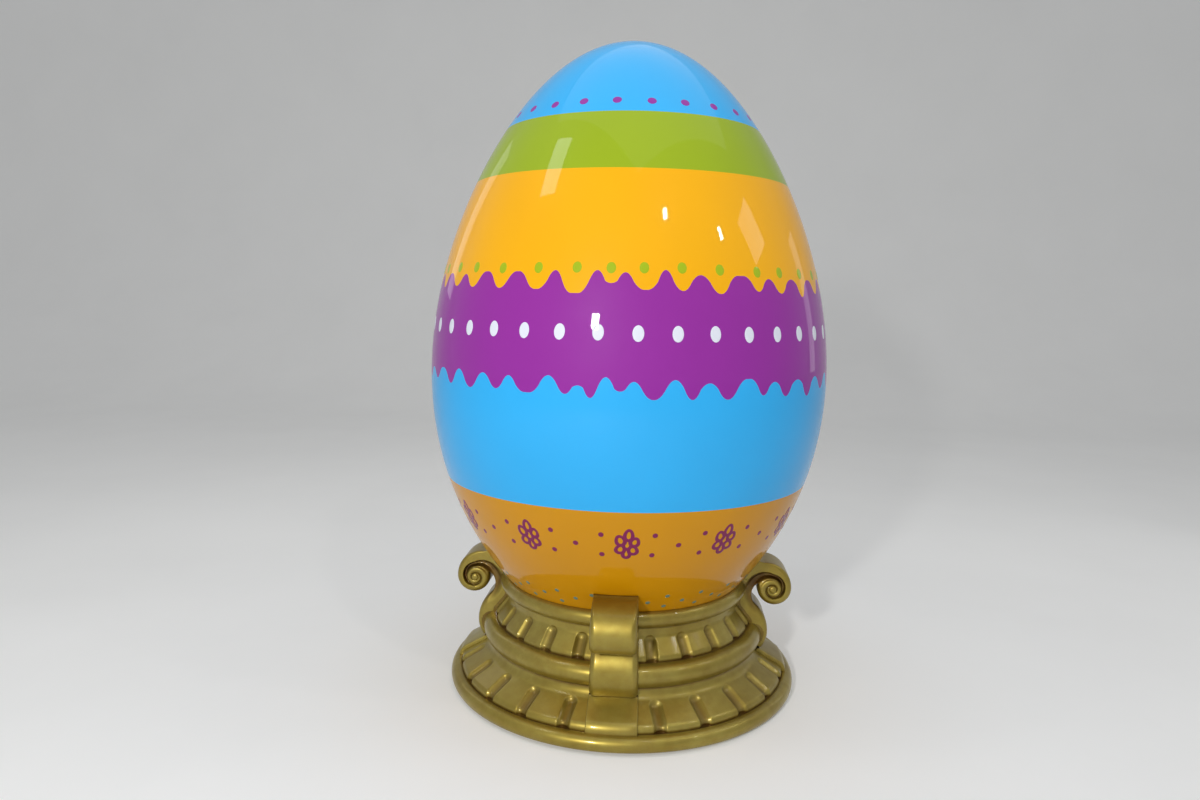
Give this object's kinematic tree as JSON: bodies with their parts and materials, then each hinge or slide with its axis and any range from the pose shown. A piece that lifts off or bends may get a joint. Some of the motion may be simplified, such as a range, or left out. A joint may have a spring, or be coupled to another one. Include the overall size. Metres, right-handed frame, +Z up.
{
  "type": "decorative egg on stand",
  "caption": "Giant painted display egg resting in a round fluted gold stand with scroll brackets; the egg lifts off its stand on a central mast.",
  "frame": {"origin": "centre of the stand's underside, on the floor", "axes": "+Z up along the egg's axis; -Y is the front that the picture shows, with +X to its right"},
  "size_m": [1.1296, 1.1298, 1.83],
  "materials": {
    "egg_paint": "gloss",
    "gold_paint": "satin",
    "plywood": "matte",
    "steel": "satin"
  },
  "bodies": {
    "stand": {"base_board": "plywood", "base_ring": "gold_paint", "bracket_bolts": "steel", "lower_fluted_skirt": "gold_paint", "lower_strap_back": "gold_paint", "lower_strap_front": "gold_paint", "lower_strap_left": "gold_paint", "lower_strap_right": "gold_paint", "mast_socket": "steel", "middle_deck": "plywood", "middle_ring": "gold_paint", "scroll_bracket_back": "gold_paint", "scroll_bracket_front": "gold_paint", "scroll_bracket_left": "gold_paint", "scroll_bracket_right": "gold_paint", "seat_ring": "gold_paint", "upper_fluted_collar": "gold_paint"},
    "egg": {"egg_upper_half": "egg_paint", "egg_lower_half": "egg_paint", "egg_base_plate": "plywood", "egg_mast": "steel", "mast_bolts": "steel"}
  },
  "joints": [
    {"name": "egg_lift", "type": "slide", "parent": "stand", "child": "egg", "axis": [0, 0, 1], "range_m": [0, 0.35]}
  ]
}
